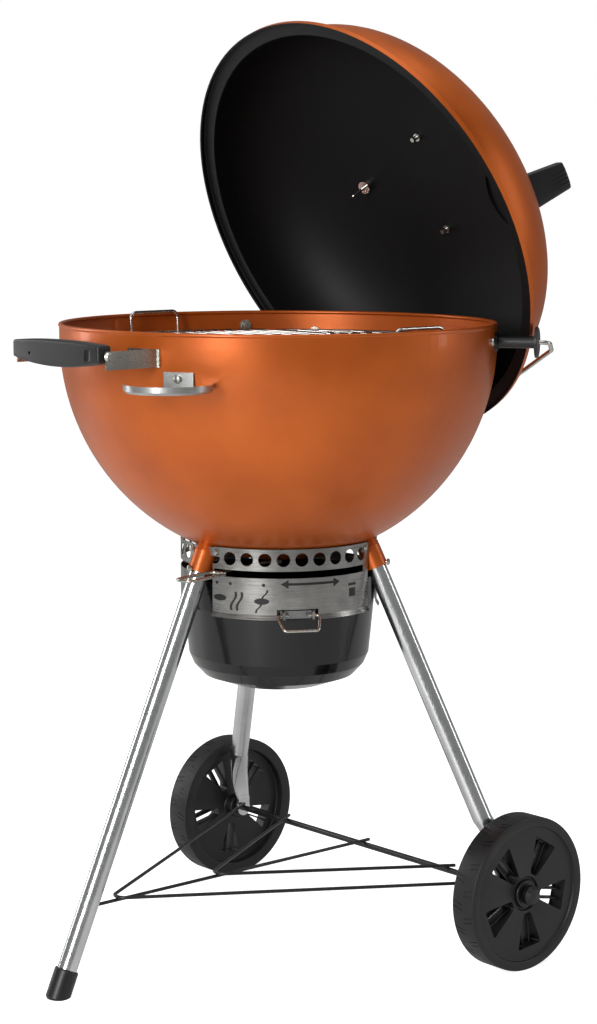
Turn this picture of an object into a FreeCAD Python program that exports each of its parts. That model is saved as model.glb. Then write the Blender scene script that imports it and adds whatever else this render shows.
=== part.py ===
"""Kettle charcoal grill: bowl on three legs, lid parked upright in its side holder."""
import FreeCAD, Part
import Sketcher
import math
import os
import re
from FreeCAD import Placement, Rotation, Vector

doc = FreeCAD.newDocument("KettleGrill")

# Driving dimensions, in millimetres and degrees.  The bowl's axis is the working origin
# and the floor is height zero until the last step, which centres the whole grill.
SIZES = {
    "rim_radius": 286, "rim_height": 830.8, "rim_bead": 2.6, "steel": 1.2,
    "bowl_radius": 284.8, "bowl_shoulder": 812, "bowl_drop": 292.6,
    "vent_inner": 30, "vent_outer": 84, "vent_half": 17,
    "lid_radius": 296, "lid_step": 277, "lid_step_high": 9, "lid_dome": 149, "lid_power": 2.53,
    "lid_back": 138.3, "lid_high": 944.5, "lid_lean": 25.1,
    "leg_radius": 12.7, "leg_wall": 1.5, "leg_top": 538, "leg_top_reach": 123.8, "foot_reach": 364,
    "leg_spread": 59.2, "lug_side": 264.5, "lug_thick": 5, "lug_width": 22,
    "socket_radius": 15.2, "socket_length": 52,
    "wheel_radius": 100.75, "wheel_width": 37, "wheel_side": 293, "hub_radius": 16,
    "axle_radius": 4, "axle_back": 156, "axle_end": 322,
    "ring_radius": 129.5, "ring_top": 549, "ring_bottom": 459, "ring_gap": 8.6,
    "slot_high": 521, "slot_low": 512, "vent_hole": 8.6,
    "pot_radius": 125.5, "pot_top": 500, "pot_bottom": 350.5,
    "lever_height": 516.4, "lever_reach": 208, "lever_wire": 2.2, "lever_turn": -75.5,
    "shaft_radius": 4,
    "handle_half": 90.75, "handle_out": 346, "handle_high": 804.7, "grip_deep": 25, "grip_tall": 33,
    "tray_radius": 54, "tray_high": 772, "tray_deep": 10,
    "spool_turn": 36.5, "spool_height": 808, "spool_radius": 7.9, "spool_disc": 20, "spool_end": 340,
    "holder_wire": 3,
    "cook_radius": 270, "cook_height": 803, "cook_hinge": 158, "grate_rod": 2.25, "grate_rim": 3,
    "loop_half": 40.5, "loop_top": 833,
    "coal_radius": 212, "coal_height": 640,
    "damper_out": 152, "damper_turn": 5, "damper_radius": 47, "gauge_out": 125.6, "gauge_radius": 30,
    "lid_bolt": 68.5, "lid_grip_half": 84,
    "rack_height": 107, "rack_wire": 2.25,
}
sheet = doc.addObject("Spreadsheet::Sheet", "Dims")
for row, (name, value) in enumerate(SIZES.items(), 1):
    sheet.set("A%d" % row, name)
    sheet.set("B%d" % row, str(value))
    sheet.setAlias("B%d" % row, name)
doc.recompute()

X, Y, Z = Vector(1, 0, 0), Vector(0, 1, 0), Vector(0, 0, 1)
SIDES = {"left": -1, "right": 1}
nodes = []


def size(name):
    return float(sheet.get(name))


def bound(expression):
    """The expression with every dimension's name pointed at the spreadsheet."""
    return re.sub(r"[a-z]\w*", lambda m: "Dims." + m.group() if m.group() in SIZES else m.group(),
                  str(expression))


def worth(expression):
    return float(sheet.evalExpression(bound(expression)))


def at(x=0.0, y=0.0, z=0.0, rotation=None):
    return Placement(Vector(x, y, z), rotation or Rotation())


def polar(radius, turn, height=0.0):
    angle = math.radians(turn)
    return Vector(radius * math.cos(angle), radius * math.sin(angle), height)


def along(start, direction):
    """A placement at start whose own Z points along direction."""
    return Placement(start, Rotation(Z, direction))


def keep(thing, label=None):
    """Marks an object as one of the grill's pieces."""
    if label:
        thing.Label = label
    nodes.append(thing)
    return thing


def feature(label, shape):
    thing = doc.addObject("Part::Feature", label)
    thing.Shape = shape
    return keep(thing, label)


def outline(sketch, points, circles=()):
    """Closes a polygon whose corners are bound, one by one, to the spreadsheet."""
    spots = [Vector(worth(px), worth(py), 0) for px, py in points]
    for i, spot in enumerate(spots):
        sketch.addGeometry(Part.LineSegment(spot, spots[(i + 1) % len(spots)]), False)
    for i in range(len(spots)):
        sketch.addConstraint(Sketcher.Constraint("Coincident", i, 2, (i + 1) % len(spots), 1))
    for i, (pair, spot) in enumerate(zip(points, spots)):
        for kind, axis, text, value in (("DistanceX", -2, pair[0], spot.x), ("DistanceY", -1, pair[1], spot.y)):
            if abs(value) < 1e-9:
                sketch.addConstraint(Sketcher.Constraint("PointOnObject", i, 1, axis))
            else:
                index = sketch.addConstraint(Sketcher.Constraint(kind, -1, 1, i, 1, value))
                sketch.setExpression("Constraints[%d]" % index, bound(text))
    for cx, cy, radius in circles:
        spot = Vector(worth(cx), worth(cy), 0)
        ring = sketch.addGeometry(Part.Circle(spot, Z, worth(radius)), False)
        index = sketch.addConstraint(Sketcher.Constraint("Radius", ring, worth(radius)))
        sketch.setExpression("Constraints[%d]" % index, bound(radius))
        for kind, axis, text, value in (("DistanceX", -2, cx, spot.x), ("DistanceY", -1, cy, spot.y)):
            if abs(value) < 1e-9:
                sketch.addConstraint(Sketcher.Constraint("PointOnObject", ring, 3, axis))
            else:
                index = sketch.addConstraint(Sketcher.Constraint(kind, -1, 1, ring, 3, value))
                sketch.setExpression("Constraints[%d]" % index, bound(text))


def new_sketch(body, plane):
    sketch = body.newObject("Sketcher::SketchObject", body.Name + "_sketch")
    planes = [f for f in body.Origin.OriginFeatures if f.Role == plane]
    sketch.AttachmentSupport = [(planes[0], "")]
    sketch.MapMode = "FlatFace"
    return sketch


def turned(name, profile, place=None):
    """A lathe-turned body: the profile is (radius, height) about the body's own Z."""
    body = doc.addObject("PartDesign::Body", name)
    sketch = new_sketch(body, "XZ_Plane")
    outline(sketch, profile)
    turn = body.newObject("PartDesign::Revolution", name + "_turn")
    turn.Profile = sketch
    turn.ReferenceAxis = (sketch, ["V_Axis"])
    turn.Angle = 360
    body.Placement = place or Placement()
    doc.recompute()
    return body


def padded(name, profile, length, place=None, circles=(), round_off=None):
    """A body padded up from the XY plane, with holes, and all its edges rounded if asked."""
    body = doc.addObject("PartDesign::Body", name)
    sketch = new_sketch(body, "XY_Plane")
    outline(sketch, profile, circles)
    pad = body.newObject("PartDesign::Pad", name + "_pad")
    pad.Profile = sketch
    pad.Length = worth(length)
    pad.setExpression("Length", bound(length))
    doc.recompute()
    if round_off:
        soft = body.newObject("PartDesign::Fillet", name + "_fillet")
        soft.Base = (pad, ["Edge%d" % (i + 1) for i in range(len(pad.Shape.Edges))])
        soft.Radius = round_off
        doc.recompute()
    body.Placement = place or Placement()
    doc.recompute()
    return body


def rod(start, end, radius):
    run = end - start
    return Part.makeCylinder(radius, run.Length, start, run)


def bent(points, radius, bend, close=False):
    """A round wire along straight runs, with a tangent arc of the bend radius at each turn."""
    count = len(points)
    corners = range(count) if close else range(1, count - 1)
    cuts = {}
    for i in corners:
        here, before, after = points[i], points[i - 1], points[(i + 1) % count]
        a, b = (before - here).normalize(), (after - here).normalize()
        half = a.getAngle(b) / 2
        reach = min(bend / math.tan(half), 0.47 * (before - here).Length, 0.47 * (after - here).Length)
        toward = (a + b).normalize()
        arc_radius = reach * math.tan(half)
        middle = here + toward * (arc_radius / math.sin(half) - arc_radius)
        cuts[i] = (here + a * reach, middle, here + b * reach)
    edges = []
    last = cuts[0][2] if close else points[0]
    for i in list(range(1, count)) + ([0] if close else []):
        if i in cuts:
            edges.append(Part.LineSegment(last, cuts[i][0]).toShape())
            edges.append(Part.Arc(*cuts[i]).toShape())
            last = cuts[i][2]
        else:
            edges.append(Part.LineSegment(last, points[i]).toShape())
    path = Part.Wire(edges)
    start = edges[0].Vertexes[0].Point
    ring = Part.Wire(Part.Circle(start, edges[0].Vertexes[-1].Point - start, radius).toShape())
    return path.makePipeShell([ring], True, False)


def sector(inner, outer, low, high, middle, half):
    """Part of a flat ring, between two radii, two heights and two headings."""
    slab = Part.makeCylinder(outer, high - low, Vector(0, 0, low), Z, 2 * half)
    if inner > 0:
        slab = slab.cut(Part.makeCylinder(inner, high - low, Vector(0, 0, low)))
    slab.rotate(Vector(), Z, middle - half)
    return slab


def joined(shapes):
    return shapes[0].multiFuse(shapes[1:]).removeSplitter() if len(shapes) > 1 else shapes[0]


def moved(shape, place):
    copy = shape.copy()
    copy.Placement = place.multiply(copy.Placement)
    return copy


# ---------------------------------------------------------------- bowl
shoulder, drop, wall = size("bowl_shoulder"), size("bowl_drop"), size("steel")


def bowl_solid(shrink):
    """The bowl's outer form, drawn in by the given amount, filled up to the rim."""
    radius, deep = size("bowl_radius") - shrink, drop - shrink
    curve = Part.Ellipse(Vector(0, 0, shoulder - deep), Vector(radius, 0, shoulder), Vector(0, 0, shoulder))
    arc = Part.ArcOfEllipse(curve, 0, math.pi / 2).toShape()
    top = size("rim_height") - size("rim_bead")
    corners = [Vector(radius, 0, shoulder), Vector(radius, 0, top), Vector(0, 0, top), Vector(0, 0, shoulder - deep)]
    sides = [Part.LineSegment(a, b).toShape() for a, b in zip(corners, corners[1:])]
    return Part.Face(Part.Wire(Part.__sortEdges__([arc] + sides))).revolve(Vector(), Z, 360)


bowl_full = bowl_solid(0)
cavity = bowl_solid(wall)
lid_lean = Rotation(X, size("lid_lean") - 90)
lid_place = Placement(Vector(0, size("lid_back"), size("lid_high")), lid_lean)
leg_turns = {"front": -90.0, "right": 90 - size("leg_spread"), "left": 90 + size("leg_spread")}
spool_turns = {"right": size("spool_turn"), "left": 180 - size("spool_turn")}
bracket_thick, tab_thick = 2.6, 1.6
tray_turn, tab_high = -65.3, 776
bracket_turns = {"left": -105.5, "right": -74.5}
bracket_high = size("handle_high") - 7
holder_bolts = ((39.1, 800), (59.1, 810))   # heading off the back's middle, and height
# heading, height and thickness of what is held, for every bolt through the bowl's wall
bolt_spots = []
for side in SIDES.values():
    bolt_spots += [(90 + side * spread, height, 0) for spread, height in holder_bolts]
bolt_spots += [(turn, bracket_high, bracket_thick) for turn in bracket_turns.values()]
bolt_spots.append((tray_turn, tab_high, tab_thick))


def make_bowl():
    shell = bowl_full.cut(cavity)
    bead_middle = size("rim_radius") - size("rim_bead")
    bead = Part.makeTorus(bead_middle, size("rim_bead"), Vector(0, 0, size("rim_height") - size("rim_bead")))
    shell = shell.fuse(bead)
    bottom = shoulder - drop
    tools = [Part.makeCylinder(size("shaft_radius") + 0.05, 20, Vector(0, 0, bottom - 10))]
    for turn in (30, 150, 270):
        tools.append(sector(size("vent_inner"), size("vent_outer"), bottom - 10, bottom + 60,
                            turn, size("vent_half")))
    for turn, height, held in bolt_spots:
        tools.append(rod(polar(270, turn, height), polar(295, turn, height), 3))
    return feature("bowl", shell.cut(Part.makeCompound(tools)))


make_bowl()


# ---------------------------------------------------------------- legs, sockets and foot
def leg_line(which):
    """Top and bottom of a leg's centre line."""
    turn = leg_turns[which]
    top = polar(size("leg_top_reach"), turn, size("leg_top"))
    if which == "front":
        return top, polar(size("foot_reach"), turn, 0)
    side = SIDES[which]
    return top, Vector(side * (size("lug_side") + 20.2), size("axle_back") - 1.4, size("wheel_radius"))


def oval(middle, across, along_dir, half_thick, half_wide, power):
    """A closed smooth outline between an ellipse (power 2) and a rounded slab."""
    points = []
    for i in range(24):
        a = math.tau * i / 24
        c, s = math.cos(a), math.sin(a)
        px = math.copysign(abs(c) ** (2 / power), c) * half_thick
        py = math.copysign(abs(s) ** (2 / power), s) * half_wide
        points.append(middle + across * px + along_dir * py)
    curve = Part.BSplineCurve()
    curve.interpolate(points, PeriodicFlag=True)
    return Part.Wire(curve.toShape())


def make_leg(which):
    """The front leg is plain tube; a wheel leg is pressed flat below into a lug for the axle."""
    top, bottom = leg_line("front" if which == "front" else "right")
    axis = (bottom - top).normalize()
    radius, bore = size("leg_radius"), size("leg_radius") - size("leg_wall")
    if which == "front":
        end = bottom - axis * 12
        return feature("leg_front", rod(top, end, radius).cut(rod(top - axis, end + axis, bore)))
    end = top + axis * ((size("leg_top") - 192) / -axis.z)
    across = (X - axis * X.dot(axis)).normalize()
    lug = size("lug_thick") / 2
    middle = Vector(size("lug_side"), size("axle_back"), size("wheel_radius"))
    mouth = Part.Circle(end, axis, radius)
    mouth.XAxis = across
    wide = axis.cross(across)
    turn_back = -1 if wide.y < 0 else 1
    press = [Part.Wire(mouth.toShape()),
             oval(Vector(259, 145, 165), X, Y * turn_back, 8, 14, 2.4),
             oval(Vector(size("lug_side"), 151, 138), X, Y * turn_back, lug, 14, 4),
             oval(middle + Z * 14, X, Y * turn_back, lug, size("lug_width") / 2 - 0.5, 5)]
    tip = Part.makeLoft(press, True, False)
    if tip.Volume < 0:
        tip.reverse()
    eye = Part.makeCylinder(size("lug_width") / 2, 2 * lug, middle - X * lug, X)
    slab = Part.makeBox(2 * lug, size("lug_width") - 2, 17, middle + Vector(-lug, 1 - size("lug_width") / 2, 0))
    body = rod(top, end, radius).fuse([tip, eye, slab])
    hole = Part.makeCylinder(size("axle_radius"), 40, middle - X * 20, X)
    shape = body.cut([rod(top - axis, end, bore), hole])
    return feature("leg_" + which, shape if which == "right" else shape.mirror(Vector(), X))


legs = {which: make_leg(which) for which in leg_turns}


def make_socket(which):
    """A pressed cone around the leg's top, trimmed to the bowl that it is welded to."""
    top, bottom = leg_line(which)
    up = (top - bottom).normalize()
    profile = [("leg_radius", 0), ("socket_radius", 0), ("socket_radius - 0.3", 28),
               ("socket_radius * 0.6", "socket_length"), (0, "socket_length"), (0, 27.4), ("leg_radius", 27.4)]
    base = top - up * 27.4
    cone = turned("socket_cone_" + which, profile, along(base, up))
    shape = cone.Shape.cut(bowl_full)
    screw_way = polar(1, leg_turns[which])
    middle = base + up * 9
    hole = rod(middle, middle + screw_way * 30, 2.5)
    return feature("leg_socket_" + which, shape.cut(hole)), middle, screw_way


sockets = {which: make_socket(which) for which in leg_turns}

screw = turned("small_screw", [(0, 0), (2.5, 0), (2.5, 4.6), (4.6, 4.6), (3.6, 7), (0, 7.6)])
screws = []
for which, (socket, middle, way) in sockets.items():
    top, bottom = leg_line(which)
    slant = (top - bottom).normalize()
    start = middle + way * (size("leg_radius") / math.sqrt(1 - way.dot(slant) ** 2) - 0.4)
    screws.append(moved(screw.Shape, along(start, way)).cut(legs[which].Shape))
feature("socket_screws", Part.makeCompound(screws))

front_top, front_bottom = leg_line("front")
front_axis = (front_bottom - front_top).normalize()
cap = turned("foot_sleeve", [(0, -6), (12, -6), (15.4, -2), (15.4, 34), (14.4, 36), ("leg_radius", 36),
                             ("leg_radius", 12), (0, 12)], along(front_bottom, -front_axis))
feature("foot_cap", cap.Shape.common(Part.makeBox(200, 200, 200, Vector(-100, -464, 0))))

# ---------------------------------------------------------------- axle, wheels and bottom rack
axle = doc.addObject("Part::Cylinder", "axle")
axle.setExpression("Radius", bound("axle_radius"))
axle.setExpression("Height", bound("2 * axle_end"))
axle.Placement = at(-size("axle_end"), size("axle_back"), size("wheel_radius"), Rotation(Z, X))
keep(axle)


def make_wheel(which):
    """One-piece moulded wheel: tyre, web and hub, with five pockets in the outer face."""
    side = SIDES[which]
    half = "wheel_width / 2"
    profile = [("axle_radius + 0.05", -20), ("hub_radius", -20), ("hub_radius", "-5"), ("wheel_radius - 17", "-5"),
               ("wheel_radius - 13", "-%s" % half), ("wheel_radius - 4", "-%s" % half),
               ("wheel_radius", "5 - %s" % half), ("wheel_radius", "%s - 5" % half),
               ("wheel_radius - 4", half), ("wheel_radius - 14", half), ("wheel_radius - 17", "%s - 4" % half),
               ("hub_radius + 9", "%s - 4" % half), ("hub_radius + 5", 20), ("axle_radius + 0.05", 20)]
    body = turned("wheel_" + which, profile)
    sketch = new_sketch(body, "XY_Plane")
    sketch.AttachmentOffset = at(0, 0, 20)
    reach = "wheel_radius - 24"
    outline(sketch, [("0.46 * wheel_radius", 0), (reach, "-0.2 * wheel_radius"), (reach, "0.2 * wheel_radius")])
    pocket = body.newObject("PartDesign::Pocket", "wheel_pocket_" + which)
    pocket.Profile = sketch
    pocket.Length = 15
    spokes = body.newObject("PartDesign::PolarPattern", "wheel_pockets_" + which)
    spokes.Originals = [pocket]
    spokes.Axis = ([f for f in body.Origin.OriginFeatures if f.Role == "Z_Axis"][0], [""])
    spokes.Angle = 360
    spokes.Occurrences = 5
    body.Tip = spokes
    doc.recompute()
    body.Placement = at(side * size("wheel_side"), size("axle_back"), size("wheel_radius"), Rotation(Z, X * side))
    return keep(body)


for side_name in SIDES:
    make_wheel(side_name)

washer = turned("axle_washer", [("axle_radius", 0), (9, 0), (9, 5.4), ("axle_radius", 5.4)])
cap_shape = turned("axle_cap", [(0, "axle_end + 3"), (9, "axle_end + 2"), (13, "axle_end - 3"),
                                (13, "axle_end - 8.4"), ("axle_radius", "axle_end - 8.4"),
                                ("axle_radius", "axle_end"), (0, "axle_end")])
lug_face = size("lug_side") + size("lug_thick") / 2
for label, master, start in (("axle_washers", washer, lug_face), ("axle_caps", cap_shape, 0)):
    pair = [moved(master.Shape, Placement(Vector(side * start, size("axle_back"), size("wheel_radius")),
                                          Rotation(Z, X * side))) for side in SIDES.values()]
    feature(label, Part.makeCompound(pair))

rack_z, rack_r = size("rack_height"), size("rack_wire")
over_axle = size("axle_back") + 8
front_leg_solid = rod(front_top, front_bottom, size("leg_radius"))
spine = rod(Vector(0, -310, rack_z), Vector(0, over_axle, rack_z), rack_r)
feature("rack_spine", spine.cut(front_leg_solid))
lug_inside = size("lug_side") - size("lug_thick") / 2
for label, apex, ends in (("rack_outer_wire", -284, (lug_inside, size("axle_back"))),
                          ("rack_inner_wire", -121, (170, over_axle))):
    tips = [Vector(side * ends[0], ends[1], rack_z) for side in (-1, 1)]
    vee = bent([tips[0], Vector(0, apex, rack_z + 2 * rack_r), tips[1]], rack_r, 14)
    feature(label, vee.cut([legs["left"].Shape, legs["right"].Shape]))


# ---------------------------------------------------------------- ring under the bowl, ash pot
screw_inset = 2.6


def make_ring_plate(which, middle, half, printed):
    outer = size("ring_radius")
    low, high = size("ring_bottom"), size("ring_top")
    plate = sector(outer - wall, outer, low + 6, high, middle, half)
    lip = Part.makeCone(outer + 3.4, outer, 6, Vector(0, 0, low))
    lip = lip.cut(Part.makeCone(outer + 3.4 - wall, outer - wall, 6, Vector(0, 0, low)))
    plate = plate.fuse(lip.common(sector(0, outer + 9, low, low + 6, middle, half)))
    tools = []
    for step in range(10):
        turn = middle - 3 + (step - 4.5) * 10.5
        tools.append(rod(polar(outer - 9, turn, 535.6), polar(outer + 9, turn, 535.6), size("vent_hole")))
    tools.append(sector(outer - 9, outer + 9, size("slot_low"), size("slot_high"), middle - 2, half - 3.2))
    if printed:
        tools.append(sector(outer - 9, outer + 9, low - 1, low + 13, middle, 12))
    for turn in (middle - half + screw_inset, middle + half - screw_inset):
        tools.append(rod(polar(outer - 9, turn, 542), polar(outer + 9, turn, 542), 2))
    for side in (-1, 1):                 # rounded upper corners
        corner = sector(outer - 9, outer + 9, high - 5, high + 1, middle + side * half, 2.2)
        round_in = middle + side * (half - 2.2)
        corner = corner.cut(rod(polar(outer - 9, round_in, high - 5), polar(outer + 9, round_in, high - 5), 5))
        tools.append(corner)
    return feature("ring_plate_" + which, plate.cut(tools))


plate_spans = {"front_right": (leg_turns["front"], leg_turns["right"]),
               "rear": (leg_turns["right"], leg_turns["left"]), "front_left": (leg_turns["left"], 270)}
for which, (first, last) in plate_spans.items():
    make_ring_plate(which, (first + last) / 2, (last - first) / 2 - size("ring_gap"), which == "front_right")

blockers = []
for which in leg_turns:
    top, bottom = leg_line(which)
    blockers.append(rod(top, bottom, size("leg_radius")))
    blockers.append(doc.getObject("socket_cone_" + which).Shape)
strap_outer = size("ring_radius") - wall
clips, clip_screws = [], []
ring_screw = turned("ring_screw", [(0, -3.2), (2, -3.2), (2, 0), (4, 0), (3.2, 1.8), (0, 2.3)])
for turn in leg_turns.values():
    strap = sector(strap_outer - 2, strap_outer, 536.5, 547.5, turn, 14).cut(blockers)
    holes = []
    for side in (-1, 1):
        heading = turn + side * (size("ring_gap") + screw_inset)
        holes.append(rod(polar(110, heading, 542), polar(140, heading, 542), 2))
        place = along(polar(size("ring_radius"), heading, 542), polar(1, heading))
        clip_screws.append(moved(ring_screw.Shape, place))
    clips += strap.cut(holes).Solids
feature("ring_clips", Part.makeCompound(clips))
feature("ring_screws", Part.makeCompound(clip_screws))

pot_profile = [("pot_radius", "pot_top"), ("pot_radius", 463), ("pot_radius - 3.8", 423), ("pot_radius - 6.5", 396),
               ("pot_radius - 12.5", 382), ("pot_radius - 26", 367.5), ("pot_radius - 62", 355), (0, "pot_bottom"),
               (0, "pot_bottom + 1"), ("pot_radius - 62", 356), ("pot_radius - 26.8", 368.7),
               ("pot_radius - 13.3", 383), ("pot_radius - 7.5", 396.4), ("pot_radius - 4.8", 423),
               ("pot_radius - 1", 463), ("pot_radius - 1", "pot_top")]
pot_body = turned("pot_shell", pot_profile)
latch_turn = sum(plate_spans["front_right"]) / 2
pot_wall = Part.makeCylinder(size("pot_radius"), 60, Vector(0, 0, 450))
bail_out = size("ring_radius") + 3       # the wire's pivots clear the ring plates
ears = []
for side in (-1, 1):                     # two ears that carry the wire handle
    spot = Placement(Vector(), Rotation(Z, latch_turn)).multiply(at(120, side * 19 - 1.5, 460))
    ear = moved(Part.makeBox(bail_out - 116.5, 3, 10), spot)
    ears.append(ear.cut(pot_wall))
pivot = Placement(Vector(), Rotation(Z, latch_turn)).multiply(at(bail_out, 0, 465, Rotation(Z, Y)))
ear_bore = moved(Part.makeCylinder(1.95, 60, Vector(0, 0, -30)), pivot)
back_plate = sector(size("pot_radius"), size("pot_radius") + 1.5, 460, 470, latch_turn, 10)
feature("ash_pot", pot_body.Shape)
feature("latch_bracket", joined([back_plate] + ears).cut(ear_bore))
local = [Vector(bail_out, -12, 465), Vector(bail_out, -28, 465), Vector(bail_out + 22, -22, 449),
         Vector(bail_out + 22, 22, 449), Vector(bail_out, 28, 465), Vector(bail_out, 12, 465)]
spin_latch = Rotation(Z, latch_turn)
wire = bent([spin_latch.multVec(p) for p in local], 1.9, 5)
feature("pot_handle", wire)


# ---------------------------------------------------------------- bottom vents and their lever
def bowl_shell_sector(gap, thick, inner, outer, turn, half):
    """A piece of sheet that follows the inside of the bowl's bottom."""
    shell = bowl_solid(wall + gap).cut(bowl_solid(wall + gap + thick))
    return shell.common(sector(inner, outer, 500, 600, turn, half))


bottom_in = shoulder - drop + wall
blades = [bowl_shell_sector(0.4, 1.0, 12, size("vent_outer") + 6, turn, 22) for turn in (90, 210, 330)]
hub = Part.makeCylinder(15, 5, Vector(0, 0, bottom_in + 0.4)).common(bowl_solid(wall + 0.4))
shaft_r = size("shaft_radius")
hub_bore = Part.makeCylinder(shaft_r, 12, Vector(0, 0, bottom_in - 1))
feature("vent_blades", joined(blades + [hub]).cut(hub_bore))
lever_z = size("lever_height")
turn_lever = Rotation(Z, size("lever_turn"))
loop = [Vector(132, -13, 0), Vector(size("lever_reach"), -13, 0), Vector(size("lever_reach"), 13, 0),
        Vector(132, 13, 0)]
grip_loop = bent([turn_lever.multVec(p) + Z * lever_z for p in loop], size("lever_wire"), 9, True)
stem = rod(turn_lever.multVec(Vector(-6, 0, 0)) + Z * lever_z,
           turn_lever.multVec(Vector(132, 0, 0)) + Z * lever_z, size("lever_wire"))
lever = feature("vent_lever", joined([stem, grip_loop]))
shaft = Part.makeCylinder(shaft_r, bottom_in + 6 - lever_z + 5, Vector(0, 0, lever_z - 5))
button = Part.makeCylinder(7, 2, Vector(0, 0, bottom_in + 5.4))
feature("vent_shaft", joined([shaft, button]).cut(lever.Shape))

# ---------------------------------------------------------------- bowl handle and tool tray
grip_y, grip_z = -size("handle_out"), size("handle_high")
deep, tall = "grip_deep / 2", "grip_tall / 2"
section = [("-%s" % tall, "-%s" % deep), (tall, "-%s" % deep), (tall, deep), ("-%s" % tall, deep)]
grip = padded("handle_grip_blank", section, "2 * handle_half",
              at(-size("handle_half"), grip_y, grip_z, Rotation(Vector(0, 0, -1), Y, X, "ZXY")), round_off=7)
plate_thick = 2.5
screw_holes, handle_screws, brackets = [], [], {}
for which, side in SIDES.items():
    face = side * size("handle_half")
    arm = Part.makeBox(plate_thick, 88, 22, Vector(min(face, face + side * plate_thick), -347, 789))
    foot = sector(280, size("bowl_radius") + bracket_thick, 789, 811, -90 + side * 14.8, 4.8)
    hole = rod(polar(270, bracket_turns[which], bracket_high), polar(300, bracket_turns[which], bracket_high), 3)
    grip_hole = rod(Vector(face - side * 18, grip_y + 2, grip_z), Vector(face + side * 9, grip_y + 2, grip_z), 2.5)
    screw_holes.append(grip_hole)
    beyond_wall = Part.makeCylinder(size("bowl_radius") - 3, 60, Vector(0, 0, 770))
    brackets[which] = joined([arm.cut(beyond_wall), foot]).cut([bowl_full, hole, grip_hole])
    start = Vector(face + side * plate_thick, grip_y + 2, grip_z)
    handle_screws.append(joined([rod(start, start - X * side * 16, 2.5),
                                 Part.makeCone(5.5, 3.5, 3, start, X * side)]))
    feature("handle_bracket_" + which, brackets[which])
feature("handle_grip", grip.Shape.cut(screw_holes))
feature("handle_screws", Part.makeCompound(handle_screws))

tray_middle = Vector(130, -283, size("tray_high") - size("tray_deep"))
dish = turned("tray_dish", [(6, 0), ("tray_radius - 3", 0), ("tray_radius", 3), ("tray_radius", "tray_deep"),
                            ("tray_radius - 1.2", "tray_deep"), ("tray_radius - 1.2", 3.4),
                            ("tray_radius - 3.4", 1.2), (6, 1.2)], at(*tray_middle))
tab = sector(280, size("bowl_radius") + tab_thick, tray_middle.z, 784, tray_turn, 4)
tab_hole = rod(polar(270, tray_turn, tab_high), polar(300, tray_turn, tab_high), 3)
inner_side = Part.makeBox(60, 200, 60, Vector(size("handle_half") + plate_thick - 60, -400, 750))
feature("tool_tray", joined([dish.Shape, tab]).cut([bowl_full, inner_side, tab_hole]))

bolt_blank = turned("wall_bolt", [(0, -13), (3, -13), (3, 0), (5.5, 0), (5.5, 2), (3.5, 3.6), (0, 4)])
nut = turned("wall_nut", [(3, -5.6), (5.5, -5.6), (5.5, -1.9), (8, -1.9), (8, -0.9), (3, -0.9)])
nut_seat = size("bowl_radius") - 0.5
bolts, nuts = [], []
for heading, height, held in bolt_spots:
    bolts.append(moved(bolt_blank.Shape, along(polar(size("bowl_radius") + held, heading, height), polar(1, heading))))
    nuts.append(moved(nut.Shape, along(polar(nut_seat, heading, height), polar(1, heading))).common(cavity))
feature("wall_bolts", Part.makeCompound(bolts))
feature("wall_nuts", Part.makeCompound(nuts))

# ---------------------------------------------------------------- lid holder: spools and wire
tube = turned("spool_tube", [("holder_wire", 0), (12, 0), (12, 6), ("spool_radius", 7.5),
                             ("spool_radius", "spool_end - 286"), ("holder_wire", "spool_end - 286")])
disc = turned("spool_disc_blank", [("holder_wire", "spool_end - 286"), ("spool_disc", "spool_end - 286"),
                                   ("spool_disc", "spool_end - 283"), ("spool_disc - 2", "spool_end - 282"),
                                   ("holder_wire", "spool_end - 282")])
tubes, discs = [], []
for heading in spool_turns.values():
    place = along(polar(282, heading, size("spool_height")), polar(1, heading))
    tubes.append(moved(tube.Shape, place).cut(bowl_full))
    discs.append(moved(disc.Shape, place))
feature("holder_tubes", Part.makeCompound(tubes))
feature("holder_discs", Part.makeCompound(discs))

lid_up = lid_lean.multVec(Vector(0, -1, 0))
lid_out = lid_lean.multVec(Z)


def around_lid(radius, turn, depth):
    """A point given by its radius and angle about the lid's axis, and its depth behind the rim."""
    a = math.radians(turn)
    return (Vector(0, size("lid_back"), size("lid_high")) + X * radius * math.cos(a)
            + lid_up * radius * math.sin(a) + lid_out * depth)


behind = 47
hug = size("lid_step") + 2.2
wire_start = size("bowl_radius") + 0.6
route = [polar(wire_start, spool_turns["right"], size("spool_height")), polar(354, spool_turns["right"], size("spool_height")),
         around_lid(306, -38, behind)]
route += [around_lid(hug / math.cos(math.radians(9)), turn, behind) for turn in (-54, -72, -90, -108, -126)]
route += [around_lid(306, -142, behind), polar(354, spool_turns["left"], size("spool_height")),
          polar(wire_start, spool_turns["left"], size("spool_height"))]
feature("lid_holder", bent(route, size("holder_wire"), 12))

# ---------------------------------------------------------------- grates and their supports
supports = []
for turn in (45, 135, 225, 315):
    top = size("cook_height") - size("grate_rim") - 0.3
    shelf = sector(258, 290, top - 2.5, top, turn, 2.6)
    rib = sector(275, 290, top - 22, top - 2.5, turn, 0.5)
    supports.append(joined([shelf, rib]).common(cavity))
feature("cooking_supports", Part.makeCompound(supports))
coal_supports = []
for turn in (30, 150, 270):
    top = size("coal_height") - size("grate_rim") - 0.3
    coal_supports.append(sector(202, 260, top - 2.5, top, turn, 4).common(cavity))
feature("charcoal_supports", Part.makeCompound(coal_supports))

rim_r, rod_r = size("grate_rim"), size("grate_rod")
cook_r, cook_z = size("cook_radius") - rim_r, size("cook_height")
hinge_y = size("cook_hinge")


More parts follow.
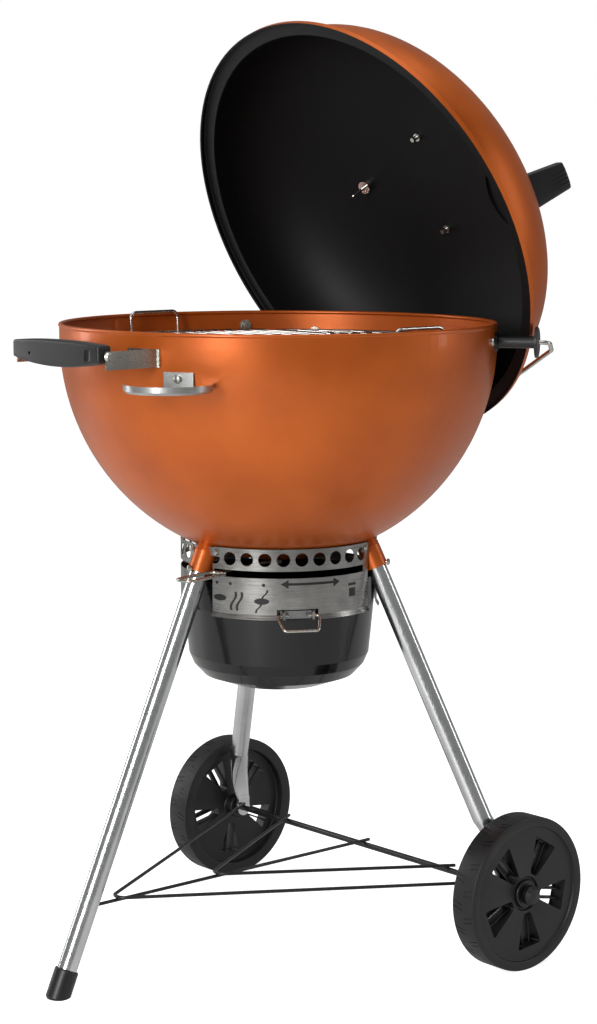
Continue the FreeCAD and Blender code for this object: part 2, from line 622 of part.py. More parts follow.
def grate_rods(radius, height, first, last, step):
    """Parallel rods across a round grate, between two distances from its middle line."""
    rods = []
    for i in range(int(round((last - first) / step)) + 1):
        y = first + i * step
        reach = math.sqrt(radius ** 2 - y ** 2)
        rods.append(rod(Vector(-reach, y, height), Vector(reach, y, height), rod_r))
    return rods


def rim_arc(radius, height, middle, half):
    ring = Part.makeTorus(radius, rim_r, Vector(0, 0, height))
    return ring.common(sector(radius - 9, radius + 9, height - 9, height + 9, middle, half))


edge_turn = math.degrees(math.asin(hinge_y / cook_r))
cook = [rim_arc(cook_r, cook_z, 0, edge_turn), rim_arc(cook_r, cook_z, 180, edge_turn)]
cook += grate_rods(cook_r, cook_z, -hinge_y, hinge_y, hinge_y / 8)
loops = []
for side in (-1, 1):
    below = cook_z - 2 * rod_r + 0.4
    cook.append(rod(Vector(side * 95, -hinge_y, below), Vector(side * 95, hinge_y, below), rod_r))
    half, top = size("loop_half"), size("loop_top")
    foot = side * math.sqrt(cook_r ** 2 - half ** 2)
    out = foot + 2 * side
    loops.append(bent([Vector(foot, -half, cook_z), Vector(out, -half, top), Vector(out, half, top),
                       Vector(foot, half, cook_z)], rod_r, 9))
grate_plain = joined(cook)
feature("cooking_grate", grate_plain)
feature("grate_handles", Part.makeCompound(loops).cut(grate_plain))
flap_r = cook_r - 3                      # the flaps fold past the bowl's wall
for label, side in (("front", -1), ("rear", 1)):
    turn = 90 * side
    start_turn = math.degrees(math.acos((hinge_y + 11) / flap_r))
    flap = [rim_arc(flap_r, cook_z, turn, start_turn)]
    for i in range(4):
        y = side * (hinge_y + 11 + i * 22)
        reach = math.sqrt(flap_r ** 2 - y ** 2)
        flap.append(rod(Vector(-reach, y, cook_z), Vector(reach, y, cook_z), rod_r))
    for x in (-75, 75):
        knuckle = Part.makeCylinder(5, 7, Vector(x - 3.5, side * hinge_y, cook_z), X)
        link = rod(Vector(x, side * (hinge_y + 3.5), cook_z), Vector(x, side * (hinge_y + 77), cook_z - 0.2),
                   rod_r)
        bore = Part.makeCylinder(rod_r + 0.05, 9, Vector(x - 4.5, side * hinge_y, cook_z), X)
        flap.append(knuckle.fuse(link).cut(bore))
    feature("grate_flap_" + label, joined(flap))

coal_r, coal_z = size("coal_radius") - size("grate_rim"), size("coal_height")
coal = [Part.makeTorus(coal_r, rim_r, Vector(0, 0, coal_z))] + grate_rods(coal_r, coal_z, -189, 189, 27)
for side in (-1, 1):
    reach = math.sqrt(coal_r ** 2 - 80 ** 2)
    coal.append(rod(Vector(side * 80, -reach, coal_z - 4), Vector(side * 80, reach, coal_z - 4), rod_r))
feature("charcoal_grate", joined(coal))

# ---------------------------------------------------------------- lid
step, step_high, dome, power = (size(k) for k in ("lid_step", "lid_step_high", "lid_dome", "lid_power"))


def dome_height(radius, shrink=0.0):
    """Height of the lid's superelliptic dome above its rim plane."""
    return step_high + (dome - shrink) * (1 - (radius / (step - shrink)) ** power) ** (1 / power)


def dome_solid(shrink):
    points = []
    for i in range(17):
        a = math.pi / 2 * i / 16
        points.append(Vector((step - shrink) * math.cos(a) ** (2 / power), 0,
                             step_high + (dome - shrink) * math.sin(a) ** (2 / power)))
    curve = Part.BSplineCurve()
    curve.interpolate(points)
    corners = [points[-1], Vector(0, 0, step_high), points[0]]
    sides = [Part.LineSegment(a, b).toShape() for a, b in zip(corners, corners[1:])]
    return Part.Face(Part.Wire([curve.toShape()] + sides)).revolve(Vector(), Z, 360)


def dome_place(radius, turn, above=0.0):
    """A placement on the dome, with Z along the outward normal."""
    slope = (dome_height(radius - 0.5) - dome_height(radius + 0.5))
    normal = Vector(slope * math.cos(math.radians(turn)), slope * math.sin(math.radians(turn)), 1).normalize()
    return along(polar(radius, turn, dome_height(radius)) + normal * above, normal)


lid_full = dome_solid(0).fuse(Part.makeCylinder(step, step_high, Vector()))
gauge_place = dome_place(size("gauge_out"), 180)
damper_place = dome_place(size("damper_out"), size("damper_turn"), 0.6)
seat_r = size("damper_radius") + 3


def make_lid():
    edge = size("lid_radius")
    skirt_profile = [Vector(edge - wall, 0, 0), Vector(edge, 0, 0), Vector(edge, 0, 7),
                     Vector(edge - 3, 0, step_high), Vector(step - wall / 2, 0, step_high + 0.6),
                     Vector(step - wall / 2, 0, step_high - wall), Vector(edge - 3.4, 0, step_high - wall),
                     Vector(edge - wall, 0, 6.4)]
    skirt = Part.Face(Part.makePolygon(skirt_profile + skirt_profile[:1])).revolve(Vector(), Z, 360)
    bead = Part.makeTorus(edge - 1.4, 1.4, Vector(0, 0, 1.4))
    shell = dome_solid(0).cut(dome_solid(wall))
    column = moved(Part.makeCylinder(seat_r, 60, Vector(0, 0, -40)), damper_place)
    seat = Part.makeCylinder(seat_r + wall, 12, Vector(0, 0, -12))
    seat = seat.cut(Part.makeCylinder(seat_r, 12 - wall, Vector(0, 0, -12)))
    seat = moved(seat, damper_place).cut(dome_solid(wall / 2))
    shell = shell.cut(column).fuse([seat, skirt, bead])
    tools = [moved(Part.makeCylinder(5, 40, Vector(0, 0, -20)), gauge_place),
             moved(Part.makeCylinder(3, 40, Vector(0, 0, -20)), damper_place)]
    for turn in (45, 135, 225, 315):
        tools.append(moved(Part.makeCylinder(11, 40, polar(27, turn, -20)), damper_place))
    for side in (-1, 1):
        tools.append(Part.makeCylinder(3, 60, Vector(0, side * size("lid_bolt"), 120)))
    return shell.cut(tools)


lid_shape = make_lid()
feature("lid", moved(lid_shape, lid_place))

lid_grip_z = step_high + dome + 52
posts, lid_bolts = [], []
for side in (-1, 1):
    y = side * size("lid_bolt")
    post = Part.makeCone(11, 8, 36, Vector(0, y, lid_grip_z - 46)).fuse(
        Part.makeCylinder(11, 20, Vector(0, y, lid_grip_z - 66)))
    post = post.cut([lid_full, Part.makeCylinder(3, 90, Vector(0, y, 120))])
    posts.append(moved(post, lid_place))
    bolt = Part.makeCylinder(3, lid_grip_z + 2 - 142, Vector(0, y, 142))
    bolt_head = Part.makeCylinder(5.5, 3.5, Vector(0, y, dome_height(size("lid_bolt")) - wall - 4.2))
    lid_bolts.append(moved(bolt.fuse(bolt_head), lid_place))
feature("lid_handle_posts", Part.makeCompound(posts))
feature("lid_handle_bolts", Part.makeCompound(lid_bolts))
shield = Part.makeBox(52, 150, 1.2, Vector(-26, -75, lid_grip_z - 10)).cut(
    [Part.makeCylinder(3, 20, Vector(0, side * size("lid_bolt"), lid_grip_z - 20)) for side in (-1, 1)])
feature("lid_heat_shield", moved(shield, lid_place))
grip_end = "lid_grip_half"
lid_grip = padded("lid_grip_blank", [(-17, "-%s" % grip_end), (17, "-%s" % grip_end), (17, grip_end), (-17, grip_end)], 24,
                  at(0, 0, lid_grip_z - 8.8), round_off=7)
bolt_holes = [Part.makeCylinder(3, 12, Vector(0, side * size("lid_bolt"), lid_grip_z - 10)) for side in (-1, 1)]
feature("lid_handle_grip", moved(lid_grip.Shape.cut(bolt_holes), lid_place))

gauge = lid_place.multiply(gauge_place)
gauge_r = "gauge_radius"
stem = turned("thermometer_probe", [(0, -42), (2.2, -40), (2.2, -12), (9, -12), (9, -2.2), (5, -2.2), (5, 5.5),
                                    (0, 5.5)], gauge)
keep(stem)
case = turned("thermometer_case", [(5, 4), (gauge_r, 4), (gauge_r, 15), (gauge_r + " - 3", 16.5),
                                   (gauge_r + " - 3", 14.2), (gauge_r + " - 1.4", 14.2), (gauge_r + " - 1.4", 5.5), (5, 5.5)], gauge)
keep(case)
pad_blank = Part.makeCylinder(13, 7, Vector(0, 0, -3)).cut(Part.makeCylinder(5, 9, Vector(0, 0, -4)))
feature("thermometer_gasket", moved(moved(pad_blank, gauge_place).cut(lid_full), lid_place))
dial = turned("thermometer_dial", [(1.55, 5.5), (gauge_r + " - 1.4", 5.5), (gauge_r + " - 1.4", 6.3), (1.55, 6.3)], gauge)
keep(dial)
glass = turned("thermometer_glass", [(0, 13), (gauge_r + " - 1.4", 13), (gauge_r + " - 1.4", 14.2), (0, 14.2)], gauge)
keep(glass)
needle = Part.makeCylinder(1.5, 2.4, Vector(0, 0, 5.6)).fuse(
    [Part.makeCylinder(3.4, 1, Vector(0, 0, 7)), Part.makeBox(1.4, 27, 0.6, Vector(-0.7, -6, 7.2))])
needle.rotate(Vector(), Z, 120)
feature("thermometer_needle", moved(needle, gauge))

damper = lid_place.multiply(damper_place)
damper_plate = Part.makeCylinder(size("damper_radius"), 1.6, Vector(0, 0, 0.3))
damper_plate = damper_plate.cut([Part.makeCylinder(11, 9, polar(27, turn, -3)) for turn in (45, 135, 225, 315)]
                                + [Part.makeCylinder(3.05, 9, Vector(0, 0, -3))])
feature("damper_disc", moved(damper_plate, damper))
rivet = joined([Part.makeCylinder(3, 5, Vector(0, 0, -2.6)), Part.makeCylinder(6, 2, Vector(0, 0, 2.2)),
                Part.makeCylinder(6, 1.2, Vector(0, 0, -wall - 1.2))])
feature("damper_rivet", moved(rivet, damper))
tab_grip = padded("damper_grip_blank", [(30, -23), (45, -23), (45, 23), (30, 23)], 62, at(0, 0, 1.9), round_off=3)
grip_turn = Placement(Vector(), Rotation(Z, -8))
feature("damper_grip", moved(tab_grip.Shape, damper.multiply(grip_turn)))

# ---------------------------------------------------------------- centre on the footprint and write
doc.recompute()
for thing in doc.Objects:
    if "Invalid" in thing.State or "Error" in thing.State:
        raise RuntimeError("%s: %s" % (thing.Label, thing.State))
everything = FreeCAD.BoundBox()
for node in nodes:
    everything.add(node.Shape.optimalBoundingBox(False, False))
shift = Vector(-everything.Center.x, -everything.Center.y, -everything.ZMin)
os.makedirs("parts", exist_ok=True)
for node in nodes:
    node.Placement = Placement(shift, Rotation()).multiply(node.Placement)
    shape = node.Shape
    if shape.isNull() or not shape.isValid():
        raise RuntimeError("bad shape: " + node.Label)
    shape.exportStep("parts/%s.step" % node.Label)
print(len(nodes), "pieces, shifted by", shift, "size", everything.XLength, everything.YLength, everything.ZLength)
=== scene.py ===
import bpy
from math import radians, pi, sin, cos
from mathutils import Vector, Matrix


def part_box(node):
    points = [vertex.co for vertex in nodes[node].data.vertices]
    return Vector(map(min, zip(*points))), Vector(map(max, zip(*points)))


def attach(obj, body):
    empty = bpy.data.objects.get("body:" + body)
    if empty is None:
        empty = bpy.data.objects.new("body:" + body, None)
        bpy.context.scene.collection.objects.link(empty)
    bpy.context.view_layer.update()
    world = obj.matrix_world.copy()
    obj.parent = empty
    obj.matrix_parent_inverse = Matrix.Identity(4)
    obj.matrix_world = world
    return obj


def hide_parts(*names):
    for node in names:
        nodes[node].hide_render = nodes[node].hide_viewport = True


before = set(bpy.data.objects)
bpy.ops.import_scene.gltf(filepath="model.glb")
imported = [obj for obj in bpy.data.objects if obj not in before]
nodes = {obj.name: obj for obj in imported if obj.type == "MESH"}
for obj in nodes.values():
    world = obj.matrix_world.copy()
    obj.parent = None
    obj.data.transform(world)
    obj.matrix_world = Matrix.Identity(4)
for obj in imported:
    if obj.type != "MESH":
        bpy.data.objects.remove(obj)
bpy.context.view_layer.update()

bpy.ops.object.select_all(action="DESELECT")


def linearOf(hexColour):
    parts = [int(hexColour[i:i + 2], 16) / 255 for i in (1, 3, 5)]
    return tuple(c / 12.92 if c <= 0.04045 else ((c + 0.055) / 1.055) ** 2.4 for c in parts) + (1.0,)


def addNode(tree, kind, values=None, **wires):
    node = tree.nodes.new(kind)                    # values are settings or sockets, wires are inN=output
    for name, value in (values or {}).items():
        if isinstance(name, int):
            node.inputs[name].default_value = value
        else:
            setattr(node, name, value)
    for name, output in wires.items():
        tree.links.new(output, node.inputs[int(name[2:])])
    return node


def newMaterial(name, surface):
    material = bpy.data.materials.new(name)        # surface: the shader's own socket values
    material.use_nodes = True
    tree = material.node_tree
    shader = tree.nodes["Principled BSDF"]
    for socket, value in surface.items():
        shader.inputs[socket].default_value = value
    return material, tree, shader


def placeOf(tree):
    return addNode(tree, "ShaderNodeTexCoord").outputs["Object"]


def addGrain(tree, shader, vector, perMetre, height, detail=2.0):
    noise = addNode(tree, "ShaderNodeTexNoise", {2: perMetre, 3: detail}, in0=vector)
    bump = addNode(tree, "ShaderNodeBump", {1: height}, in3=noise.outputs[0])
    tree.links.new(bump.outputs[0], shader.inputs["Normal"])
    return noise, bump


def addRange(tree, shader, socket, noise, low, high):
    span = addNode(tree, "ShaderNodeMapRange", {1: 0.35, 2: 0.65, 3: low, 4: high}, in0=noise.outputs[0])
    tree.links.new(span.outputs[0], shader.inputs[socket])


def mixColours(tree, factor, first, second):
    mix = addNode(tree, "ShaderNodeMix", {"data_type": "RGBA"}, in0=factor)
    for slot, colour in ((6, first), (7, second)):
        if isinstance(colour, tuple):
            mix.inputs[slot].default_value = colour
        else:
            tree.links.new(colour, mix.inputs[slot])
    return mix.outputs[2]


enamel = {
    "orangeLight": "#c66019", "orangeDeep": "#b05012", "black": "#050506",
    "roughness": 0.38, "orangePeel": 0.0022, "coat": 0.12, "flake": 0.5,
}


def addEnamelSkin(tree, shader, vector):
    peel = addNode(tree, "ShaderNodeTexNoise", {2: 1 / enamel["orangePeel"], 3: 2.0}, in0=vector)
    drift = addNode(tree, "ShaderNodeTexNoise", {2: 9.0, 3: 3.0}, in0=vector)
    bump = addNode(tree, "ShaderNodeBump", {0: 0.5, 1: 0.00006}, in3=peel.outputs[0])
    tree.links.new(bump.outputs[0], shader.inputs["Normal"])
    addRange(tree, shader, "Roughness", drift, enamel["roughness"] - 0.03, enamel["roughness"] + 0.04)
    fleck = addNode(tree, "ShaderNodeTexNoise", {2: 900.0, 3: 1.0}, in0=vector)    # metal flake in the frit
    both = addNode(tree, "ShaderNodeMath", {"operation": "MULTIPLY_ADD", 1: 0.35},
                   in0=fleck.outputs[0], in2=drift.outputs[0])
    shade = addNode(tree, "ShaderNodeMapRange", {1: 0.45, 2: 0.9, 3: 0.0, 4: 1.0}, in0=both.outputs[0])
    return mixColours(tree, shade.outputs[0], linearOf(enamel["orangeDeep"]), linearOf(enamel["orangeLight"]))


def orangeEnamel():                                # vitreous enamel fired on steel: glassy, soft flake glow
    surface = {"Metallic": enamel["flake"], "IOR": 1.5, "Coat Weight": enamel["coat"], "Coat Roughness": 0.06,
               "Coat IOR": 1.5}
    material, tree, shader = newMaterial("orangeVitreousEnamel", surface)
    tree.links.new(addEnamelSkin(tree, shader, placeOf(tree)), shader.inputs["Base Color"])
    return material


def lidEnamel(middle, outward):                    # orange outside, black inside, parted at the rim's edge
    material, tree, shader = newMaterial("lidVitreousEnamel", {"IOR": 1.35})
    coords = addNode(tree, "ShaderNodeTexCoord")
    orange = addEnamelSkin(tree, shader, coords.outputs["Object"])
    front = middle - outward * 0.35
    ray = addNode(tree, "ShaderNodeVectorMath", {"operation": "SUBTRACT", 1: tuple(front)},
                  in0=coords.outputs["Object"])
    facing = addNode(tree, "ShaderNodeVectorMath", {"operation": "DOT_PRODUCT"},
                     in0=ray.outputs[0], in1=coords.outputs["Normal"])
    outside = addNode(tree, "ShaderNodeMath", {"operation": "GREATER_THAN", 1: 0.0},
                      in0=facing.outputs["Value"])
    colour = mixColours(tree, outside.outputs[0], linearOf(enamel["black"]), orange)
    tree.links.new(colour, shader.inputs["Base Color"])
    metal = addNode(tree, "ShaderNodeMath", {"operation": "MULTIPLY", 1: enamel["flake"]},
                    in0=outside.outputs[0])
    tree.links.new(metal.outputs[0], shader.inputs["Metallic"])
    gloss = shader.inputs["Roughness"].links[0].from_node        # the black inside is matter
    rough = addNode(tree, "ShaderNodeMapRange", {3: 0.55}, in0=outside.outputs[0], in4=gloss.outputs[0])
    tree.links.new(rough.outputs[0], shader.inputs["Roughness"])
    return material


def blackEnamel():                                 # the same enamel in black, on the ash pot
    surface = {"Base Color": linearOf("#060607"), "IOR": 1.45, "Coat Weight": 0.15, "Coat Roughness": 0.05}
    material, tree, shader = newMaterial("blackVitreousEnamel", surface)
    noise, bump = addGrain(tree, shader, placeOf(tree), 1 / enamel["orangePeel"], 0.00005)
    addRange(tree, shader, "Roughness", noise, 0.14, 0.2)
    return material


def metalSheet(name, colour, darker, roughness, stretch, perMetre, height, around=False):
    material, tree, shader = newMaterial(name, {"Metallic": 1.0})
    vector = placeOf(tree)
    if around:                                     # the grain runs round the object's own upright axis
        parts = addNode(tree, "ShaderNodeSeparateXYZ", in0=vector)
        turn = addNode(tree, "ShaderNodeMath", {"operation": "ARCTAN2"},
                       in0=parts.outputs[1], in1=parts.outputs[0])
        arc = addNode(tree, "ShaderNodeMath", {"operation": "MULTIPLY", 1: 0.13}, in0=turn.outputs[0])
        vector = addNode(tree, "ShaderNodeCombineXYZ", in0=arc.outputs[0], in2=parts.outputs[2]).outputs[0]
    scaled = addNode(tree, "ShaderNodeMapping", {3: stretch}, in0=vector)
    noise, bump = addGrain(tree, shader, scaled.outputs[0], perMetre, height, 4.0)
    addRange(tree, shader, "Roughness", noise, roughness - 0.05, roughness + 0.07)
    blotch = addNode(tree, "ShaderNodeTexNoise", {2: 30.0, 3: 3.0}, in0=vector)
    both = addNode(tree, "ShaderNodeMath", {"operation": "MULTIPLY_ADD", 1: 0.5},
                   in0=noise.outputs[0], in2=blotch.outputs[0])
    shade = addNode(tree, "ShaderNodeMapRange", {1: 0.55, 2: 0.95, 3: 0.0, 4: 1.0}, in0=both.outputs[0])
    tone = mixColours(tree, shade.outputs[0], linearOf(darker), linearOf(colour))
    tree.links.new(tone, shader.inputs["Base Color"])
    return material


def mouldedPlastic(name, colour, roughness, grainMm, height):
    material, tree, shader = newMaterial(name, {"IOR": 1.5})
    vector = placeOf(tree)
    noise, bump = addGrain(tree, shader, vector, 1000 / grainMm, height)
    wear = addNode(tree, "ShaderNodeTexNoise", {2: 14.0, 3: 4.0}, in0=vector)
    addRange(tree, shader, "Roughness", wear, roughness - 0.06, roughness + 0.07)
    lighter = tuple(min(1.0, c * 1.5 + 0.002) for c in linearOf(colour)[:3]) + (1.0,)
    shade = addNode(tree, "ShaderNodeMapRange", {1: 0.4, 2: 0.75, 3: 0.0, 4: 0.6}, in0=wear.outputs[0])
    tree.links.new(mixColours(tree, shade.outputs[0], linearOf(colour), lighter), shader.inputs["Base Color"])
    return material


lidAxis = Vector((0.0, 0.9055, 0.4242))            # the lid's own axis, out through its dome
postLow, postHigh = (Vector(v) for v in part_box("lid_handle_posts"))
lidMiddle = (postLow + postHigh) / 2 - lidAxis * 0.172
orange = orangeEnamel()
materials = {
    "orange": orange,
    "lid": lidEnamel(lidMiddle, lidAxis),
    "pot": blackEnamel(),
    "leg": metalSheet("polishedAluminiumTube", "#d4d5d6", "#c6c8c9", 0.2, (1.0, 1.0, 0.02), 700.0, 0.000004),
    "ring": metalSheet("brushedAluminiumSheet", "#a9a8a5", "#858482", 0.27, (0.02, 0.02, 1.0), 1100.0,
                       0.000012, True),
    "sheet": metalSheet("satinAluminiumSheet", "#c4c5c3", "#a6a7a5", 0.34, (1.0, 0.04, 1.0), 900.0, 0.000006),
    "steel": metalSheet("aluminisedSteel", "#a9aaa9", "#858686", 0.36, (1.0, 1.0, 1.0), 420.0, 0.00003),
    "plate": metalSheet("brightNickelPlate", "#dad8d4", "#c2bfba", 0.14, (1.0, 1.0, 1.0), 300.0, 0.00001),
    "zinc": metalSheet("brightZincPlate", "#c9c9c2", "#a9a9a0", 0.27, (1.0, 1.0, 1.0), 600.0, 0.000004),
    "nylon": mouldedPlastic("mouldedNylon", "#101011", 0.4, 0.9, 0.00005),
    "tyre": mouldedPlastic("mouldedPolyethylene", "#0d0d0e", 0.47, 1.1, 0.00006),
    "powder": mouldedPlastic("blackPowderCoat", "#131314", 0.36, 0.7, 0.00004),
    "gasket": mouldedPlastic("siliconeRubber", "#202022", 0.6, 0.8, 0.00004),
    "dial": mouldedPlastic("printedDialPlate", "#e9e6dd", 0.4, 1.5, 0.00001),
    "pointer": mouldedPlastic("redLacquer", "#b31510", 0.3, 1.5, 0.00001),
}
glassSurface = {"Base Color": linearOf("#f4f8f7"), "Roughness": 0.02, "IOR": 1.5, "Transmission Weight": 1.0}
glass, glassTree, glassShader = newMaterial("clearSodaGlass", glassSurface)
smudge = addNode(glassTree, "ShaderNodeTexNoise", {2: 60.0, 3: 3.0}, in0=placeOf(glassTree))
addRange(glassTree, glassShader, "Roughness", smudge, 0.01, 0.05)
materials["glass"] = glass
finishOf = {
    "orange": ["bowl", "leg_socket_front", "leg_socket_left", "leg_socket_right"],
    "lid": ["lid"], "pot": ["ash_pot"],
    "leg": ["leg_front", "leg_left", "leg_right"],
    "ring": ["ring_plate_front_left", "ring_plate_front_right", "ring_plate_rear"],
    "sheet": ["tool_tray", "damper_disc", "lid_heat_shield"],
    "steel": ["cooking_supports", "charcoal_supports", "vent_blades", "vent_shaft", "ring_clips",
              "latch_bracket"],
    "plate": ["cooking_grate", "grate_handles", "grate_flap_front", "grate_flap_rear", "charcoal_grate",
              "lid_holder", "thermometer_case", "thermometer_probe"],
    "zinc": ["handle_bracket_left", "handle_bracket_right", "handle_screws", "wall_bolts", "wall_nuts",
             "ring_screws", "socket_screws", "lid_handle_bolts", "damper_rivet", "vent_lever", "pot_handle"],
    "nylon": ["handle_grip", "lid_handle_grip", "lid_handle_posts", "damper_grip", "holder_tubes",
              "holder_discs", "foot_cap", "axle_caps", "axle_washers"],
    "tyre": ["wheel_left", "wheel_right"],
    "powder": ["axle", "rack_inner_wire", "rack_outer_wire", "rack_spine"],
    "gasket": ["thermometer_gasket"], "dial": ["thermometer_dial"], "pointer": ["thermometer_needle"],
    "glass": ["thermometer_glass"],
}


def paint(piece, material):
    if not piece.material_slots:
        piece.data.materials.append(material)
    for slot in piece.material_slots:
        slot.material = material


for finish, names in finishOf.items():
    for name in names:
        paint(nodes[name], materials[finish])
unpainted = set(nodes) - {name for names in finishOf.values() for name in names}
print("materials on", len(nodes), "nodes, left out:", sorted(unpainted))


wheel = {                                          # tyre and rim in one moulding
    "pockets": 5, "pocketTurn": 60, "pocketNear": 0.026, "pocketFar": 0.072, "pocketHalf": 0.021,
    "pocketDeep": 0.024, "width": 0.037, "ribThick": 0.0022,
    "grooves": 18, "grooveWide": 0.0011, "grooveDeep": 0.0009, "groovePair": 0.0062,
    "lipIn": 0.0125, "webIn": 0.0035, "hubOut": 0.022,
}


def editMode():
    bpy.ops.object.mode_set(mode="EDIT")
    bpy.ops.mesh.select_mode(type="FACE")


def objectMode():
    bpy.ops.object.mode_set(mode="OBJECT")


def pickFaces(piece, wanted):
    objectMode()
    for face in piece.data.polygons:
        face.select = wanted(face)
    for edge in piece.data.edges:
        edge.select = False
    for vertex in piece.data.vertices:
        vertex.select = False
    for face in piece.data.polygons:
        if face.select:
            for index in face.vertices:
                piece.data.vertices[index].select = True
    editMode()


def settle(piece):
    objectMode()                                   # its place goes into its mesh
    bpy.ops.object.select_all(action="DESELECT")
    piece.select_set(True)
    bpy.context.view_layer.objects.active = piece
    bpy.ops.object.transform_apply(location=True, rotation=True, scale=True)


def applyModifier(piece, kind, **values):
    bpy.context.view_layer.objects.active = piece
    modifier = piece.modifiers.new(kind.title(), kind)
    for name, value in values.items():
        setattr(modifier, name, value)
    bpy.ops.object.modifier_apply(modifier=modifier.name)


def cutWith(piece, cutter):
    applyModifier(piece, "BOOLEAN", operation="DIFFERENCE", object=cutter, solver="EXACT")
    bpy.data.objects.remove(cutter)


def joinAll(pieces):
    bpy.ops.object.select_all(action="DESELECT")
    for piece in pieces:
        piece.select_set(True)
    bpy.context.view_layer.objects.active = pieces[0]
    bpy.ops.object.join()
    return pieces[0]


def wheelBlank(radius, width):
    bpy.ops.mesh.primitive_cylinder_add(vertices=144, radius=radius, depth=width, end_fill_type="NGON")
    piece = bpy.context.object
    settle(piece)
    pickFaces(piece, lambda face: face.normal.z > 0.9)          # outer face: tyre lip, dish, web
    bpy.ops.mesh.inset(thickness=wheel["lipIn"])
    bpy.ops.mesh.extrude_region_move(TRANSFORM_OT_translate={"value": (0, 0, -wheel["webIn"])})
    bpy.ops.mesh.inset(thickness=0.005)
    bpy.ops.mesh.inset(thickness=radius - wheel["lipIn"] - 0.005 - wheel["hubOut"])
    bpy.ops.mesh.extrude_region_move(TRANSFORM_OT_translate={"value": (0, 0, -0.004)})
    bpy.ops.mesh.inset(thickness=0.004)
    bpy.ops.mesh.extrude_region_move(TRANSFORM_OT_translate={"value": (0, 0, 0.0055)})
    pickFaces(piece, lambda face: face.normal.z < -0.9)         # inner face: deep dish with a hub
    bpy.ops.mesh.inset(thickness=0.016)
    bpy.ops.mesh.extrude_region_move(TRANSFORM_OT_translate={"value": (0, 0, width * 0.36)})
    bpy.ops.mesh.inset(thickness=radius - 0.016 - 0.016)
    bpy.ops.mesh.extrude_region_move(TRANSFORM_OT_translate={"value": (0, 0, -width * 0.4)})
    objectMode()
    return piece


def pocketCutter(turn, width):
    near, far, half = wheel["pocketNear"], wheel["pocketFar"], wheel["pocketHalf"]
    level = width / 2 - wheel["pocketDeep"] / 2 + 0.003
    bpy.ops.mesh.primitive_cube_add(size=1, location=((near + far) / 2, 0, level))
    cutter = bpy.context.object
    cutter.scale = (far - near, 2 * half, wheel["pocketDeep"] + 0.006)
    settle(cutter)
    for vertex in cutter.data.vertices:                         # narrow towards the hub
        if vertex.co.x < (near + far) / 2:
            vertex.co.y *= 0.3
    applyModifier(cutter, "BEVEL", width=0.0035, segments=3, limit_method="ANGLE")
    cutter.rotation_euler = (0, 0, turn)
    settle(cutter)
    return cutter


def pocketRibs(turn, width):
    ribs = []
    for side in (-1, 1):
        bpy.ops.mesh.primitive_cube_add(size=1, location=(0.049, side * 0.0062, width / 2 - 0.0165))
        rib = bpy.context.object
        rib.scale = (0.044, wheel["ribThick"], 0.013)
        settle(rib)
        applyModifier(rib, "BEVEL", width=0.0006, segments=2)
        rib.rotation_euler = (0, 0, turn)
        settle(rib)
        ribs.append(rib)
    return ribs


def treadCutter(radius, width):
    bpy.ops.mesh.primitive_cube_add(size=1)
    bar = bpy.context.object
    bar.scale = (2 * wheel["grooveDeep"], wheel["grooveWide"], width * 0.4)
    settle(bar)
    bars = []
    for i in range(wheel["grooves"]):
        for shift in (-0.5, 0.5):
            for level, start in ((-0.24, 0.0), (0.24, 0.5)):
                copy = bar.copy()
                copy.data = bar.data.copy()
                bpy.context.collection.objects.link(copy)
                turn = 2 * pi * (i + start) / wheel["grooves"] + shift * wheel["groovePair"] / radius
                slant = radians(14) * (1 if level > 0 else -1)
                copy.matrix_world = (Matrix.Rotation(turn, 4, "Z")
                                     @ Matrix.Translation((radius, 0, level * width))
                                     @ Matrix.Rotation(slant, 4, "X"))
                bars.append(copy)
    bpy.data.objects.remove(bar)
    cutter = joinAll(bars)
    settle(cutter)
    return cutter


def makeWheel():
    low, high = (Vector(v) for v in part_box("wheel_right"))
    radius, width = (high.z - low.z) / 2, wheel["width"]
    piece = wheelBlank(radius, width)
    applyModifier(piece, "BEVEL", width=0.0042, segments=4, limit_method="ANGLE", angle_limit=radians(40))
    ribs = []
    for i in range(wheel["pockets"]):
        turn = 2 * pi * i / wheel["pockets"]
        cutWith(piece, pocketCutter(turn, width))
        ribs += pocketRibs(turn, width)
    cutWith(piece, treadCutter(radius, width))
    piece = joinAll([piece] + ribs)
    bpy.ops.object.shade_smooth_by_angle(angle=radians(32))
    return piece, (low + high) / 2


def placeWheels():
    master, middle = makeWheel()
    for side, name, body in ((1, "wheel_right", "wheel_r"), (-1, "wheel_left", "wheel_l")):
        piece = master.copy()
        piece.data = master.data.copy()
        piece.name = "mouldedWheel" + ("Right" if side > 0 else "Left")
        bpy.context.collection.objects.link(piece)
        toSide = Matrix(((0, 0, side), (side, 0, 0), (0, 1, 0))).to_4x4()
        spin = Matrix.Rotation(radians(wheel["pocketTurn"]), 4, "Z")
        piece.matrix_world = Matrix.Translation((side * middle.x, middle.y, middle.z)) @ toSide @ spin
        settle(piece)
        paint(piece, materials["tyre"])
        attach(piece, body)
        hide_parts(name)
    bpy.data.objects.remove(master)
    print("wheels made")


placeWheels()


grip = {                                           # the bowl's handle, bellied in the middle
    "half": 0.0895, "deep": 0.024, "tallEnd": 0.022, "tallMiddle": 0.0325, "round": 0.0075,
    "panelOut": 0.069, "holeOut": -0.0505, "holeRadius": 0.0021,
}


def shadeAndPlace(piece, name, body, node):
    bpy.ops.object.select_all(action="DESELECT")
    piece.select_set(True)
    bpy.context.view_layer.objects.active = piece
    bpy.ops.object.shade_smooth_by_angle(angle=radians(35))
    piece.name = name
    paint(piece, materials["nylon"])
    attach(piece, body)
    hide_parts(node)


